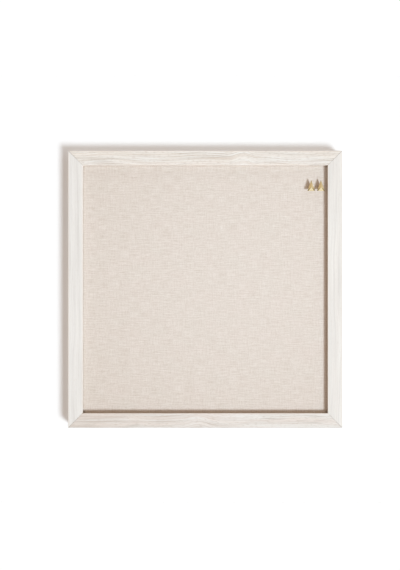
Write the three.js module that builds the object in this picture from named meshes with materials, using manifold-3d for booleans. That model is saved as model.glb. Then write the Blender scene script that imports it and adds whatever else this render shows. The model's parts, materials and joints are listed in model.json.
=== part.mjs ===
// A linen bulletin board: a cork panel wrapped in linen, held in a mitred frame of whitewashed oak,
// with two faceted brass pins pushed into its upper right corner and a D-ring hanger on each stile.
// Millimetres, +Z up. The front faces -Y, and the origin is the middle of the board on the wall.
// The pieces are laid out flat, with x to the right, y up the board and z from the wall to the
// viewer, and the finished board is then stood upright.
import * as THREE from "three";
import { mergeVertices } from "three/addons/utils/BufferGeometryUtils.js";
import Module from "manifold-3d";

// The oak frame
const BOARD_WIDTH = 452.4;
const BOARD_HEIGHT = 457.2;
const FACE_WIDTH = 23.8; // a rail seen from the front
const LIP_DEPTH = 9; // the frame's front face stands this far in front of the linen
const RABBET_WIDTH = 7; // the lip reaches this far over the panel
const EDGE_RADIUS = 0.8; // eased front edges
const MITRE_GAP = 0.1; // half of the glue line, measured along a rail

// The panel, from its face to its back
const PANEL_PLAY = 1; // between the panel's edge and the rabbet wall
const LINEN_THICKNESS = 0.8;
const CORK_THICKNESS = 8;
const FOLD_WIDTH = 30; // linen turned over on to the back of the cork
const BACKING_THICKNESS = 3.2;
const SEAT_GAP = 0.1; // between pieces that lie on each other

// V-nails across each mitre, driven flush with the frame's back
const NAIL_LEG = 5;
const NAIL_THICKNESS = 0.5;
const NAIL_HEIGHT = 10;
const NAIL_EDGE = 4.5; // from the back's edges to the nail
const FIT_GAP = 0.15; // round everything that is driven in

// Retaining points, driven into the rabbet wall behind the backing board
const POINT_WIDTH = 8;
const POINT_OVERLAP = 9; // over the backing board
const POINT_GRIP = 6; // in the wood
const POINT_TAPER = 3; // length of the pointed end
const POINT_THICKNESS = 0.5;
const POINT_RECESS = 2.2; // from the frame's back in to the points
const POINT_INSET = 62; // from an opening's corner to the first point along a side

// D-ring hangers on the stiles
const HANGER_DROP = 100; // from the top edge to the ring's pivot
const STRAP_WIDTH = 9.5;
const STRAP_THICKNESS = 0.7;
const STRAP_END = 5.5; // from the lower screw to the strap's end
const WIRE_RADIUS = 0.9;
const EYE_PLAY = 0.2; // between the ring's bar and the strap's rolled eye
const EYE_END_ANGLE = 200; // degrees round the eye, from the side away from the strap
const RING_REACH = 13; // from the pivot to the middle of the bow's wire
const RING_CORNER = 2;
const RING_SIDE_PLAY = 0.4; // between the eye's ends and the ring's corners
const RING_SEAM = 0.4; // where the ends of the wire meet inside the eye
const SCREW_RADIUS = 1.4;
const SCREW_LENGTH = 12;
const SCREW_TIP = 3;
const SCREW_HEAD_RADIUS = 3;
const SCREW_HEAD_HEIGHT = 1.6;
const SCREW_PITCH = 9;
const SCREW_TO_RING = 1.5; // from the upper screw's head to the folded ring
const DRIVE_LENGTH = 3.2; // cross recess in the screw's head
const DRIVE_WIDTH = 0.8;
const DRIVE_DEPTH = 0.9;

// Rubber bumpers on the bottom rail, which hold the board off the wall
const BUMPER_RADIUS = 5;
const BUMPER_THICKNESS = 4;
const BUMPER_EDGE = 1; // bevel round the face that meets the wall
const BUMPER_INSET = 40; // from the board's side

// Push pins
const PIN_WIDTH = 12.3; // the head's triangle
const PIN_HEIGHT = 18;
const PIN_STEM_HEIGHT = 7.5; // from the linen to the head's widest edge
const PIN_BAND_HEIGHT = 0.6; // flat round the widest edge
const PIN_CROWN_HEIGHT = 2.6; // from that band to the point where the three facets meet
const PIN_FOOT_SHARE = 0.3; // the foot's size against the widest edge
const PIN_FROM_TOP = 36.4; // from the opening's top edge to a pin's axis
const PIN_FROM_RIGHT = 11.2; // from the opening's right edge to the nearer pin's axis
const PIN_SPACING = 16;
const NEEDLE_RADIUS = 0.55;
const NEEDLE_DEPTH = 8; // in the panel
const NEEDLE_TIP = 3;
const NEEDLE_GRIP = 5; // in the head

// Fineness of round shapes
const EDGE_STEPS = 3;
const ROUND_STEPS = 16;
const EYE_STEPS = 14;
const WIRE_STEPS = 5;
const RING_STEPS = 48;
const DOME_STEPS = 4;

const QUARTER_TURN = Math.PI / 2;
const HALF_TURN = Math.PI;
const FULL_TURN = 2 * Math.PI;
const CUT_THROUGH = 1; // a through cut runs this far past its piece
const MERGE_DISTANCE = 1e-4;

// Levels from the wall to the front
const BACK = BUMPER_THICKNESS;
const POINT_REAR = BACK + POINT_RECESS;
const BACKING_REAR = POINT_REAR + POINT_THICKNESS + SEAT_GAP;
const BACKING_FRONT = BACKING_REAR + BACKING_THICKNESS;
const FOLD_REAR = BACKING_FRONT + SEAT_GAP;
const CORK_REAR = FOLD_REAR + LINEN_THICKNESS + SEAT_GAP;
const CORK_FRONT = CORK_REAR + CORK_THICKNESS;
const LINEN_FRONT = CORK_FRONT + SEAT_GAP + LINEN_THICKNESS;
const LEDGE = LINEN_FRONT + SEAT_GAP;
const FRONT = LEDGE + LIP_DEPTH;

const LAND_WIDTH = FACE_WIDTH - RABBET_WIDTH; // the frame's back, from its edge to the rabbet
const PANEL_WIDTH = BOARD_WIDTH - 2 * (LAND_WIDTH + PANEL_PLAY);
const PANEL_HEIGHT = BOARD_HEIGHT - 2 * (LAND_WIDTH + PANEL_PLAY);
const OPENING_WIDTH = BOARD_WIDTH - 2 * FACE_WIDTH;
const OPENING_HEIGHT = BOARD_HEIGHT - 2 * FACE_WIDTH;

const EYE_RADIUS = WIRE_RADIUS + EYE_PLAY;
const EYE_OUTER_RADIUS = EYE_RADIUS + STRAP_THICKNESS;
const RING_HALF_WIDTH = STRAP_WIDTH / 2 + RING_SIDE_PLAY + RING_CORNER;
const UPPER_SCREW = RING_REACH + WIRE_RADIUS + SCREW_TO_RING + SCREW_HEAD_RADIUS;
const LOWER_SCREW = UPPER_SCREW + SCREW_PITCH;
const STRAP_LENGTH = LOWER_SCREW + STRAP_END;

const oak = new THREE.MeshStandardMaterial({ color: 0xe9e4dd, roughness: 0.6, metalness: 0 });
const linen = new THREE.MeshStandardMaterial({ color: 0xe3dad1, roughness: 0.9, metalness: 0 });
const cork = new THREE.MeshStandardMaterial({ color: 0xb98b5d, roughness: 0.9, metalness: 0 });
const hardboard = new THREE.MeshStandardMaterial({ color: 0x7d5a3c, roughness: 0.7, metalness: 0 });
const steel = new THREE.MeshStandardMaterial({ color: 0xb9bcc0, roughness: 0.35, metalness: 1 });
const brass = new THREE.MeshStandardMaterial({ color: 0xc9a96a, roughness: 0.25, metalness: 1 });
const rubber = new THREE.MeshStandardMaterial({ color: 0x3a3937, roughness: 0.85, metalness: 0 });

const wasm = await Module();
wasm.setup();

// A closed geometry as a solid that can be cut. Triangles that shrink to a line at a pole are dropped.
function solidOf(geometry) {
  const bare = new THREE.BufferGeometry();
  bare.setAttribute("position", geometry.getAttribute("position"));
  bare.setIndex(geometry.getIndex());
  const merged = mergeVertices(bare, MERGE_DISTANCE);
  const corners = merged.getIndex().array;
  const triangles = [];
  for (let first = 0; first < corners.length; first += 3) {
    const [a, b, c] = corners.slice(first, first + 3);
    if (a !== b && b !== c && c !== a) {
      triangles.push(a, b, c);
    }
  }
  const vertProperties = new Float32Array(merged.getAttribute("position").array);
  const triVerts = new Uint32Array(triangles);
  return new wasm.Manifold(new wasm.Mesh({ numProp: 3, vertProperties, triVerts }));
}

function geometryOf(solid) {
  const { vertProperties, triVerts } = solid.getMesh();
  const geometry = new THREE.BufferGeometry();
  geometry.setAttribute("position", new THREE.BufferAttribute(vertProperties, 3));
  geometry.setIndex(new THREE.BufferAttribute(triVerts, 1));
  geometry.computeVertexNormals();
  return geometry;
}

function cut(geometry, pockets) {
  let solid = solidOf(geometry);
  for (const pocket of pockets) {
    solid = solid.subtract(solidOf(pocket));
  }
  return geometryOf(solid);
}

// Cuts pockets that are given in the board's frame out of a piece that is placed in that frame.
function cutInPlace(piece, pockets) {
  piece.updateWorldMatrix(true, false);
  const toPiece = piece.matrixWorld.clone().invert();
  const local = pockets.map((pocket) => pocket.clone().applyMatrix4(toPiece));
  piece.geometry = cut(piece.geometry, local);
}

// The room that a placed piece needs in its neighbours, in the board's frame.
function pocketFor(piece, grownGeometry) {
  piece.updateWorldMatrix(true, false);
  return grownGeometry.applyMatrix4(piece.matrixWorld);
}

function addPiece(parent, name, geometry, material) {
  const piece = new THREE.Mesh(geometry, material);
  piece.name = name;
  parent.add(piece);
  return piece;
}

function extrude(outline, depth, curveSegments = ROUND_STEPS) {
  return new THREE.ExtrudeGeometry(outline, { depth, bevelEnabled: false, curveSegments });
}

// A shape turned round the z axis, from points of radius and level.
function turn(points, segments = ROUND_STEPS, start = 0) {
  const profile = points.map(([radius, level]) => new THREE.Vector2(radius, level));
  return new THREE.LatheGeometry(profile, segments, start).rotateX(QUARTER_TURN);
}

function slab(width, height, rear, front) {
  return new THREE.BoxGeometry(width, height, front - rear).translate(0, 0, (rear + front) / 2);
}

// A mitred rail along x, with its outer edge at y = 0. Its profile is drawn from the outer edge
// inwards, and each end is drawn back by the distance from that edge, which cuts the mitre.
function railGeometry(length) {
  const rim = FRONT - EDGE_RADIUS;
  const profile = new THREE.Shape();
  profile.moveTo(0, BACK);
  profile.lineTo(LAND_WIDTH, BACK);
  profile.lineTo(LAND_WIDTH, LEDGE);
  profile.lineTo(FACE_WIDTH, LEDGE);
  profile.absarc(FACE_WIDTH - EDGE_RADIUS, rim, EDGE_RADIUS, 0, QUARTER_TURN, false);
  profile.absarc(EDGE_RADIUS, rim, EDGE_RADIUS, QUARTER_TURN, HALF_TURN, false);
  const rail = extrude(profile, 1, EDGE_STEPS);
  const points = rail.getAttribute("position");
  for (let i = 0; i < points.count; i += 1) {
    const inward = points.getX(i);
    const level = points.getY(i);
    const end = 2 * points.getZ(i) - 1;
    points.setXYZ(i, end * (length / 2 - inward - MITRE_GAP), inward, level);
  }
  return rail;
}

// A steel V with one leg in each of the two rails that meet.
function nailGeometry(grow) {
  const reach = NAIL_LEG + grow;
  const inside = NAIL_THICKNESS + grow;
  const outline = new THREE.Shape();
  outline.moveTo(-grow, -grow);
  outline.lineTo(reach, -grow);
  outline.lineTo(reach, inside);
  outline.lineTo(inside, inside);
  outline.lineTo(inside, reach);
  outline.lineTo(-grow, reach);
  return extrude(outline, NAIL_HEIGHT + 2 * grow).translate(0, 0, BACK - grow);
}

// A steel tongue, pointed at the end in the wood and round at the end over the backing board.
function pointGeometry(grow) {
  const half = POINT_WIDTH / 2 + grow;
  const shoulder = POINT_GRIP - POINT_TAPER;
  const roundCentre = POINT_WIDTH / 2 - POINT_OVERLAP;
  const outline = new THREE.Shape();
  outline.moveTo(shoulder, -half);
  outline.lineTo(POINT_GRIP + grow, 0);
  outline.lineTo(shoulder, half);
  outline.absarc(roundCentre, 0, half, QUARTER_TURN, 3 * QUARTER_TURN, false);
  return extrude(outline, POINT_THICKNESS + 2 * grow).translate(0, 0, POINT_REAR - grow);
}

function linenGeometry() {
  const wrapped = slab(PANEL_WIDTH, PANEL_HEIGHT, FOLD_REAR, LINEN_FRONT);
  const pocket = slab(
    PANEL_WIDTH - 2 * LINEN_THICKNESS,
    PANEL_HEIGHT - 2 * LINEN_THICKNESS,
    FOLD_REAR + LINEN_THICKNESS,
    LINEN_FRONT - LINEN_THICKNESS,
  );
  const window = slab(
    PANEL_WIDTH - 2 * FOLD_WIDTH,
    PANEL_HEIGHT - 2 * FOLD_WIDTH,
    FOLD_REAR - CUT_THROUGH,
    CORK_REAR,
  );
  return cut(wrapped, [pocket, window]);
}

function corkGeometry() {
  const edge = 2 * (LINEN_THICKNESS + SEAT_GAP);
  return slab(PANEL_WIDTH - edge, PANEL_HEIGHT - edge, CORK_REAR, CORK_FRONT);
}

// The strap seen from its side: flat on the frame's back, then rolled into an eye round the ring's
// bar, with the eye's middle at the origin. Its lower end is rounded in plan.
function strapGeometry() {
  const endAngle = THREE.MathUtils.degToRad(EYE_END_ANGLE);
  const side = new THREE.Shape();
  side.moveTo(-STRAP_LENGTH, -EYE_OUTER_RADIUS);
  side.absarc(0, 0, EYE_OUTER_RADIUS, -QUARTER_TURN, endAngle, false);
  side.absarc(0, 0, EYE_RADIUS, endAngle, -QUARTER_TURN, true);
  side.lineTo(-STRAP_LENGTH, -EYE_RADIUS);
  const rolled = extrude(side, STRAP_WIDTH, EYE_STEPS).translate(0, 0, -STRAP_WIDTH / 2);
  rolled.rotateY(-QUARTER_TURN).rotateX(-QUARTER_TURN);

  const half = STRAP_WIDTH / 2;
  const top = EYE_OUTER_RADIUS + CUT_THROUGH;
  const plan = new THREE.Shape();
  plan.moveTo(half, top);
  plan.lineTo(-half, top);
  plan.absarc(0, half - STRAP_LENGTH, half, HALF_TURN, FULL_TURN, false);
  const blank = extrude(plan, 2 * top).translate(0, 0, -top);
  return geometryOf(solidOf(rolled).intersect(solidOf(blank)));
}

// A D of wire that hangs from its straight bar, with the bar's middle at the origin.
function ringGeometry() {
  const half = RING_HALF_WIDTH;
  const cornerX = half - RING_CORNER;
  const route = new THREE.Path();
  route.moveTo(RING_SEAM / 2, 0);
  route.absarc(cornerX, -RING_CORNER, RING_CORNER, QUARTER_TURN, 0, true);
  route.absarc(0, half - RING_REACH, half, 0, -HALF_TURN, true);
  route.absarc(-cornerX, -RING_CORNER, RING_CORNER, HALF_TURN, QUARTER_TURN, true);
  route.lineTo(-RING_SEAM / 2, 0);
  const points = route.getSpacedPoints(RING_STEPS);
  const extrudePath = new THREE.CatmullRomCurve3(points.map(({ x, y }) => new THREE.Vector3(x, y, 0)));
  const wire = new THREE.Shape();
  wire.absarc(0, 0, WIRE_RADIUS, 0, FULL_TURN, false);
  return new THREE.ExtrudeGeometry(wire, { extrudePath, steps: RING_STEPS, curveSegments: WIRE_STEPS });
}

// A pan head with a cross recess behind the strap, and a pointed shank into the stile.
function screwGeometry() {
  const profile = [[0, -SCREW_HEAD_HEIGHT]];
  for (let step = 1; step <= DOME_STEPS; step += 1) {
    const angle = (step / DOME_STEPS) * QUARTER_TURN;
    profile.push([SCREW_HEAD_RADIUS * Math.sin(angle), -SCREW_HEAD_HEIGHT * Math.cos(angle)]);
  }
  profile.push([SCREW_RADIUS, 0]);
  profile.push([SCREW_RADIUS, SCREW_LENGTH - SCREW_TIP]);
  profile.push([0, SCREW_LENGTH]);
  const floor = DRIVE_DEPTH - SCREW_HEAD_HEIGHT;
  const slot = slab(DRIVE_LENGTH, DRIVE_WIDTH, -SCREW_HEAD_HEIGHT - CUT_THROUGH, floor);
  return cut(turn(profile), [slot, slot.clone().rotateZ(QUARTER_TURN)]);
}

function screwHole() {
  const radius = SCREW_RADIUS + FIT_GAP;
  const far = SCREW_LENGTH + FIT_GAP;
  return turn([[0, -CUT_THROUGH], [radius, -CUT_THROUGH], [radius, far], [0, far]]);
}

function bumperGeometry() {
  const seat = BUMPER_THICKNESS - SEAT_GAP;
  return turn([
    [0, 0],
    [BUMPER_RADIUS - BUMPER_EDGE, 0],
    [BUMPER_RADIUS, BUMPER_EDGE],
    [BUMPER_RADIUS, seat],
    [0, seat],
  ]);
}

// A three-sided head on a narrow foot: it widens from the linen to a flat band, and three facets
// close it to a point. It is turned with three segments at radius 1 and then stretched.
function pinHeadGeometry() {
  const band = SEAT_GAP + PIN_STEM_HEIGHT;
  const profile = [
    [0, SEAT_GAP],
    [PIN_FOOT_SHARE, SEAT_GAP],
    [1, band],
    [1, band + PIN_BAND_HEIGHT],
    [0, band + PIN_BAND_HEIGHT + PIN_CROWN_HEIGHT],
  ];
  const unitWidth = Math.sqrt(3); // an equilateral triangle's, with its corners at radius 1
  const unitHeight = 1.5;
  return turn(profile, 3, HALF_TURN).scale(PIN_WIDTH / unitWidth, PIN_HEIGHT / unitHeight, 1);
}

function needleGeometry(grow) {
  const radius = NEEDLE_RADIUS + grow;
  const top = SEAT_GAP + NEEDLE_GRIP + grow;
  return turn([[0, -NEEDLE_DEPTH - grow], [radius, NEEDLE_TIP - NEEDLE_DEPTH], [radius, top], [0, top]]);
}

const board = new THREE.Group();

// Each side of the frame, in order round it: the board's size across it and along it, and the
// corner that it meets the next side at.
const sides = [
  { rail: "right_stile", side: "right", across: BOARD_WIDTH, along: BOARD_HEIGHT, corner: "top_right" },
  { rail: "top_rail", side: "top", across: BOARD_HEIGHT, along: BOARD_WIDTH, corner: "top_left" },
  { rail: "left_stile", side: "left", across: BOARD_WIDTH, along: BOARD_HEIGHT, corner: "bottom_left" },
  { rail: "bottom_rail", side: "bottom", across: BOARD_HEIGHT, along: BOARD_WIDTH, corner: "bottom_right" },
];
const rails = {};
const pockets = [];

sides.forEach(({ rail, side, across, along, corner }, index) => {
  const facing = index * QUARTER_TURN;
  const reach = across / 2;
  const outward = new THREE.Vector3(Math.cos(facing), Math.sin(facing), 0);
  const sideways = new THREE.Vector3(-outward.y, outward.x, 0);

  const railPiece = addPiece(board, rail, railGeometry(along), oak);
  railPiece.position.copy(outward).multiplyScalar(reach);
  railPiece.rotation.z = facing + QUARTER_TURN;
  rails[side] = railPiece;

  const firstPoint = along / 2 - FACE_WIDTH - POINT_INSET;
  [-firstPoint, 0, firstPoint].forEach((place, count) => {
    const point = addPiece(board, `retaining_point_${side}_${count + 1}`, pointGeometry(0), steel);
    point.position.copy(outward).multiplyScalar(reach - LAND_WIDTH).addScaledVector(sideways, place);
    point.rotation.z = facing;
    pockets.push(pocketFor(point, pointGeometry(FIT_GAP)));
  });

  const innerEdge = LAND_WIDTH - NAIL_EDGE - NAIL_THICKNESS;
  Object.entries({ outer: NAIL_EDGE, inner: innerEdge }).forEach(([place, inset]) => {
    const nail = addPiece(board, `v_nail_${corner}_${place}`, nailGeometry(0), steel);
    nail.position.copy(outward).multiplyScalar(reach - inset).addScaledVector(sideways, along / 2 - inset);
    nail.rotation.z = facing + HALF_TURN;
    pockets.push(pocketFor(nail, nailGeometry(FIT_GAP)));
  });
});

const linenCover = addPiece(board, "linen_cover", linenGeometry(), linen);
const corkCore = addPiece(board, "cork_core", corkGeometry(), cork);
addPiece(board, "backing_board", slab(PANEL_WIDTH, PANEL_HEIGHT, BACKING_REAR, BACKING_FRONT), hardboard);

const handed = Object.entries({ left: -1, right: 1 });

for (const [hand, sign] of handed) {
  const hanger = new THREE.Group();
  const seat = BACK - SEAT_GAP;
  const stileMiddle = sign * (BOARD_WIDTH / 2 - LAND_WIDTH / 2);
  hanger.position.set(stileMiddle, BOARD_HEIGHT / 2 - HANGER_DROP, seat - EYE_OUTER_RADIUS);
  board.add(hanger);

  const strap = addPiece(hanger, `hanger_strap_${hand}`, strapGeometry(), steel);
  addPiece(hanger, `d_ring_${hand}`, ringGeometry(), steel);
  Object.entries({ upper: UPPER_SCREW, lower: LOWER_SCREW }).forEach(([place, drop]) => {
    const screw = addPiece(hanger, `hanger_screw_${hand}_${place}`, screwGeometry(), steel);
    screw.position.set(0, -drop, EYE_RADIUS - SEAT_GAP);
    pockets.push(pocketFor(screw, screwHole()));
  });
  cutInPlace(strap, pockets);
}

for (const rail of Object.values(rails)) {
  cutInPlace(rail, pockets);
}

for (const [hand, sign] of handed) {
  const bumper = addPiece(board, `bumper_${hand}`, bumperGeometry(), rubber);
  bumper.position.set(sign * (BOARD_WIDTH / 2 - BUMPER_INSET), (LAND_WIDTH - BOARD_HEIGHT) / 2, 0);
}

const nearPin = OPENING_WIDTH / 2 - PIN_FROM_RIGHT;
const needleHoles = [];

for (const [hand, place] of Object.entries({ left: nearPin - PIN_SPACING, right: nearPin })) {
  const pin = new THREE.Group();
  pin.position.set(place, OPENING_HEIGHT / 2 - PIN_FROM_TOP, LINEN_FRONT);
  board.add(pin);
  const head = addPiece(pin, `pin_head_${hand}`, pinHeadGeometry(), brass);
  const needle = addPiece(pin, `pin_needle_${hand}`, needleGeometry(0), steel);
  const hole = pocketFor(needle, needleGeometry(FIT_GAP));
  cutInPlace(head, [hole]);
  needleHoles.push(hole);
}

cutInPlace(linenCover, needleHoles);
cutInPlace(corkCore, needleHoles);

board.rotation.x = QUARTER_TURN;

export default board;
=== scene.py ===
import json
import math
from functools import partial

import bmesh
import bpy
import numpy as np
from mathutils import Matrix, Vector


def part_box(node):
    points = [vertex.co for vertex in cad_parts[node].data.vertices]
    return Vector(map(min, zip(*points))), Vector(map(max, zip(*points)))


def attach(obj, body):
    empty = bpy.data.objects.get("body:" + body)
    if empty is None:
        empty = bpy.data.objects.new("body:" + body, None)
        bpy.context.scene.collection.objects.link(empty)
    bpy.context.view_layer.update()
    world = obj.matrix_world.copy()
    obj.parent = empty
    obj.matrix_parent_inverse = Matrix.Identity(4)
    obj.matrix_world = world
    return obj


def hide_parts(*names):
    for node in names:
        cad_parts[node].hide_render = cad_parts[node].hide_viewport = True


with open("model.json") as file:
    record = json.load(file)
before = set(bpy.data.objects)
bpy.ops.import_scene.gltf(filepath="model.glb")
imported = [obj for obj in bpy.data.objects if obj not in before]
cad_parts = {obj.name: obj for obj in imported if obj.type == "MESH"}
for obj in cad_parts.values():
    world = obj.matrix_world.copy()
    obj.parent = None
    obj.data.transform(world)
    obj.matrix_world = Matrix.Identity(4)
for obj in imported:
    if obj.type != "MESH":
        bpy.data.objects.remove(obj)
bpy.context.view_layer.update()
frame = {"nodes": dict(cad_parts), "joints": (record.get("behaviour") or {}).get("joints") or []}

# A linen bulletin board on a wall: four mitred rails of whitewashed oak round a panel of cork wrapped in
# linen, two faceted brass pins in its upper right corner, and on its back a hardboard backing board,
# retaining points, V-nails, D-ring hangers and bumpers.
# Lengths are in metres, written as millimetres times MM. The front faces -Y and the bumpers end at y = 0.
MM = 0.001
QUARTER_TURN = math.pi / 2
HALF_TURN = math.pi
FULL_TURN = 2 * math.pi
MERGE_DISTANCE = 1e-6
ROUND_SEGMENTS = 48  # of a turned piece


def corners_of(node_name):
    """Lowest and highest corner of a CAD node as arrays."""
    low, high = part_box(node_name)
    return np.array(low), np.array(high)


# Sizes that the frame gives
stile_low, stile_high = corners_of("right_stile")
_, rail_high = corners_of("top_rail")
linen_low, linen_high = corners_of("linen_cover")
backing_low, backing_high = corners_of("backing_board")
HALF_WIDTH = stile_high[0]
HALF_HEIGHT = rail_high[2]
FACE_WIDTH = stile_high[0] - stile_low[0]
FRONT = stile_low[1]
BACK = stile_high[1]
OPENING_X = HALF_WIDTH - FACE_WIDTH
OPENING_Z = HALF_HEIGHT - FACE_WIDTH
LINEN_FACE = linen_low[1]

# The frame's section
PANEL_PLAY = 1 * MM  # between the panel and the rabbet wall
SEAT_GAP = 0.1 * MM  # between pieces that lie on each other
BACK_RECESS = 0.05 * MM  # the driven V-nails stand this proud of the wood
FRONT_ARRIS = 0.45 * MM
BACK_ARRIS = 0.4 * MM
LIP_ARRIS = 0.2 * MM
MITRE_GAP = 0.02 * MM
MITRE_EASE = 0.3 * MM  # the fine V that eased ends leave along a mitre
MITRE_SHADE = 0.42 * MM  # glue and dust darken the wood this far from the mitre
SECTION_STEP = 1.2 * MM
LAND_WIDTH = HALF_WIDTH - PANEL_PLAY - linen_high[0]
LEDGE = LINEN_FACE - SEAT_GAP

# The rails' finish
NOISE_MEAN = 0.5
SEED_STEPS = (7.0, 17.3, 9.1)  # a seed moves the wander and the streaks by these
WANDER_LENGTH = 140 * MM  # the grain wanders this slowly along a rail
WANDER_RISE = 9 * MM  # and this far across it
SWIRL_PALENESS = 0.1
TINT_SHARE = 0.5
FLECK_SHARE = 1.6  # of the vessel lines' share
# Share of the creamy wash on the front edges, which is partly a painted highlight there
EDGE_CREAM_AND_HIGHLIGHT = 0.35
RAGGEDNESS = 0.9  # of the line where the wash stops
GLUE_SHARE = 0.85
EDGE_REACH = 2.2 * MM  # creamy wash and painted highlight round a front edge, and the width over which it fades
EDGE_FADE = 1.4 * MM
OUTER_GREY_REACH = 1.2 * MM  # a darker grey line along the outer front edge of some rails
OUTER_GREY_FADE = 0.8 * MM
GLUE_AT_STATIONS = (1, 0.7, 0, 0, 0.7, 1)
GLUE_FALL = 0.65  # from the outer edge to the opening

# The linen
CLOTH_THICKNESS = 0.3 * MM
CLOTH_EDGE_RADIUS = 1.2 * MM
CLOTH_FOLD = 30 * MM  # turned over on to the back of the cork
SIDE_FOLD_INSET = 0.55 * MM  # from the solid's back in to the cloth at its sides
END_FOLD_INSET = 0.1 * MM  # and at its upper and lower ends
CLOTH_CELL = 3.2 * MM
CLOTH_SWELL = 0.09 * MM  # gentle unevenness of the stretched cloth
NEEDLE_HOLE = 0.7 * MM
YARN_CONTRAST = (1.0, 0.6, 0.65)  # thick weft, warp, specks
CLOTH_TONE = 0.52  # in the middle, from 0 for the darkest yarns to 1 for the palest
CLOTH_LIGHT_SLOPE = (0.47, 0.13, 0.0)  # the tone's rise per metre, painted light that is brighter towards the right and the top
CLOTH_LIGHT_BOW = (-1.7, -2.7, 0.0)  # and its fall with the square of the distance from the middle, painted shade towards the edges
# Painted shade on the cloth along the frame, standing for the frame's contact shadow and shade: way, the
# opening's edge, share of painted shade there and how far it reaches
CLOTH_EDGE_SHADE = (
    ("X", -OPENING_X, 0.12, 3 * MM),
    ("X", -OPENING_X, 0.03, 22 * MM),
    ("X", OPENING_X, 0.12, 3 * MM),
    ("Y", OPENING_Z, 0.06, 2.5 * MM),
    ("Y", OPENING_Z, 0.07, 30 * MM),
)
# Painted shade also darkens three of the inner corners, the upper right, the lower left and the lower right,
# where the frame's shade gathers
SHADED_CORNERS = ((OPENING_X, OPENING_Z, 0), (-OPENING_X, -OPENING_Z, 0), (OPENING_X, -OPENING_Z, 0))
CORNER_SHADE = 0.65
CORNER_SHADE_REACH = 5 * MM

# The pins
PIN_STEM = 7.5 * MM  # from the foot to the widest edge
PIN_BAND = 0.6 * MM
PIN_FOOT_SHARE = 0.3
PIN_ROUNDING = 0.3 * MM
PIN_TIP_SHARE = 0.06  # the tip's blunt end
PIN_MEAN_RADIUS = 8 * MM
PIN_CORNER_POWER = 40  # the higher, the sharper the three corners
NEEDLE_TIP = 3 * MM

# The hangers
STRAP_LENGTH = 32.9 * MM  # from the ring's pivot to the strap's end
STRAP_THICKNESS = 0.7 * MM
EYE_RADIUS = 1.1 * MM  # inside the rolled eye
EYE_END = 200  # degrees round the eye
PLATE_EASE = 0.16 * MM
LEAST_WIDTH = 0.02 * MM  # of a plate's very end
RING_WIRE = 0.9 * MM
RING_HALF_WIDTH = 7.15 * MM
RING_CORNER = 2 * MM
RING_REACH = 13 * MM
SCREW_HEAD_HEIGHT = 1.6 * MM
SCREW_DOME_POWER = 2.6  # 2 is an ellipse, more is flatter
SCREW_RADIUS = 1.4 * MM
SCREW_THREAD = 0.3 * MM
SCREW_PITCH = 1.3 * MM
SCREW_TIP = 3 * MM
DRIVE_LENGTH = 3.4 * MM
DRIVE_WIDTH = 0.8 * MM
DRIVE_DEPTH = 0.9 * MM

# The retaining points
POINT_TAPER = 3 * MM
POINT_LIFT = 0.35 * MM  # the free end springs this far off the backing board

BUMPER_EDGE = 1 * MM
BUMPER_DISH = 0.3 * MM
BACKING_EDGE = 0.4 * MM

# The camera, from where the board lies in the 400 x 570 picture
PICTURE_WIDTH = 400
PICTURE_HEIGHT = 570
BOARD_CENTRE_PX = (205.2, 289.2)
BOARD_HEIGHT_PX = 277.0
CAMERA_DISTANCE = 1400 * MM  # to the frame's front
SENSOR = 36


# Shapes worked out as arrays


def stacked(*columns):
    """Arrays and numbers as the columns of one array, spread to the same shape."""
    return np.stack(np.broadcast_arrays(*columns), axis=-1)


def grid_faces(rows, columns, looped_rows=False, looped_columns=False):
    """Quads between neighbouring points of a grid, closed round where a direction is looped."""
    row = np.arange(rows if looped_rows else rows - 1)
    column = np.arange(columns if looped_columns else columns - 1)
    row, column = np.meshgrid(row, column, indexing="ij")
    next_row = (row + 1) % rows
    next_column = (column + 1) % columns
    corners = stacked(
        row * columns + column,
        next_row * columns + column,
        next_row * columns + next_column,
        row * columns + next_column,
    )
    return corners.reshape(-1, 4)


def skin(rings, capped=True, looped=False):
    """Points and faces of closed rings joined one after another, with a cap on each open end."""
    rows, columns, _ = rings.shape
    faces = grid_faces(rows, columns, looped, True).tolist()
    if capped:
        last = (rows - 1) * columns
        faces.append(list(range(columns)))
        faces.append(list(range(last, last + columns)))
    return rings.reshape(-1, 3), faces


def unit(vectors):
    """The vectors along the last axis, made 1 long."""
    return vectors / np.linalg.norm(vectors, axis=-1, keepdims=True)


def rounded_path(corners, closed=True, steps=6):
    """A line through corners of (x, y, radius), each corner replaced by an arc that touches its two edges.
    The arc's centre lies on the line that halves the corner, at radius / sin(half the corner's angle), and
    its points turn evenly from one touching point to the other."""
    places = np.array([corner[:2] for corner in corners])
    share = np.linspace(0, 1, steps + 1)[:, None]
    parts = []
    for index, (_, _, radius) in enumerate(corners):
        corner = places[index]
        is_end = not closed and index in (0, len(corners) - 1)
        if is_end or radius == 0:
            parts.append(corner[None])
            continue
        back = unit(places[index - 1] - corner)
        on = unit(places[(index + 1) % len(corners)] - corner)
        half_angle = math.acos(np.clip(back @ on, -1, 1)) / 2
        middle = unit(back + on)
        centre = corner + middle * radius / math.sin(half_angle)
        start = corner + back * radius / math.tan(half_angle) - centre
        end = corner + on * radius / math.tan(half_angle) - centre
        turn = HALF_TURN - 2 * half_angle
        arc = np.sin((1 - share) * turn) * start + np.sin(share * turn) * end
        parts.append(centre + arc / math.sin(turn))
    return np.concatenate(parts)


def lengths_along(points):
    """Distance along a line of points, from its first point."""
    steps = np.linalg.norm(np.diff(points, axis=0), axis=1)
    return np.concatenate([[0], np.cumsum(steps)])


def at_lengths(points, wanted):
    """Points at the wanted distances along a line, between its own points in straight pieces."""
    known = lengths_along(points)
    return stacked(*(np.interp(wanted, known, column) for column in points.T))


def filled_in(outline, step):
    """A closed outline with its own points and more of them, none further than step from the next."""
    closed = np.concatenate([outline, outline[:1]])
    known = lengths_along(closed)
    extra = np.arange(0, known[-1], step)
    wanted = np.unique(np.round(np.concatenate([known[:-1], extra]), 7))
    return at_lengths(closed, wanted)


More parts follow.
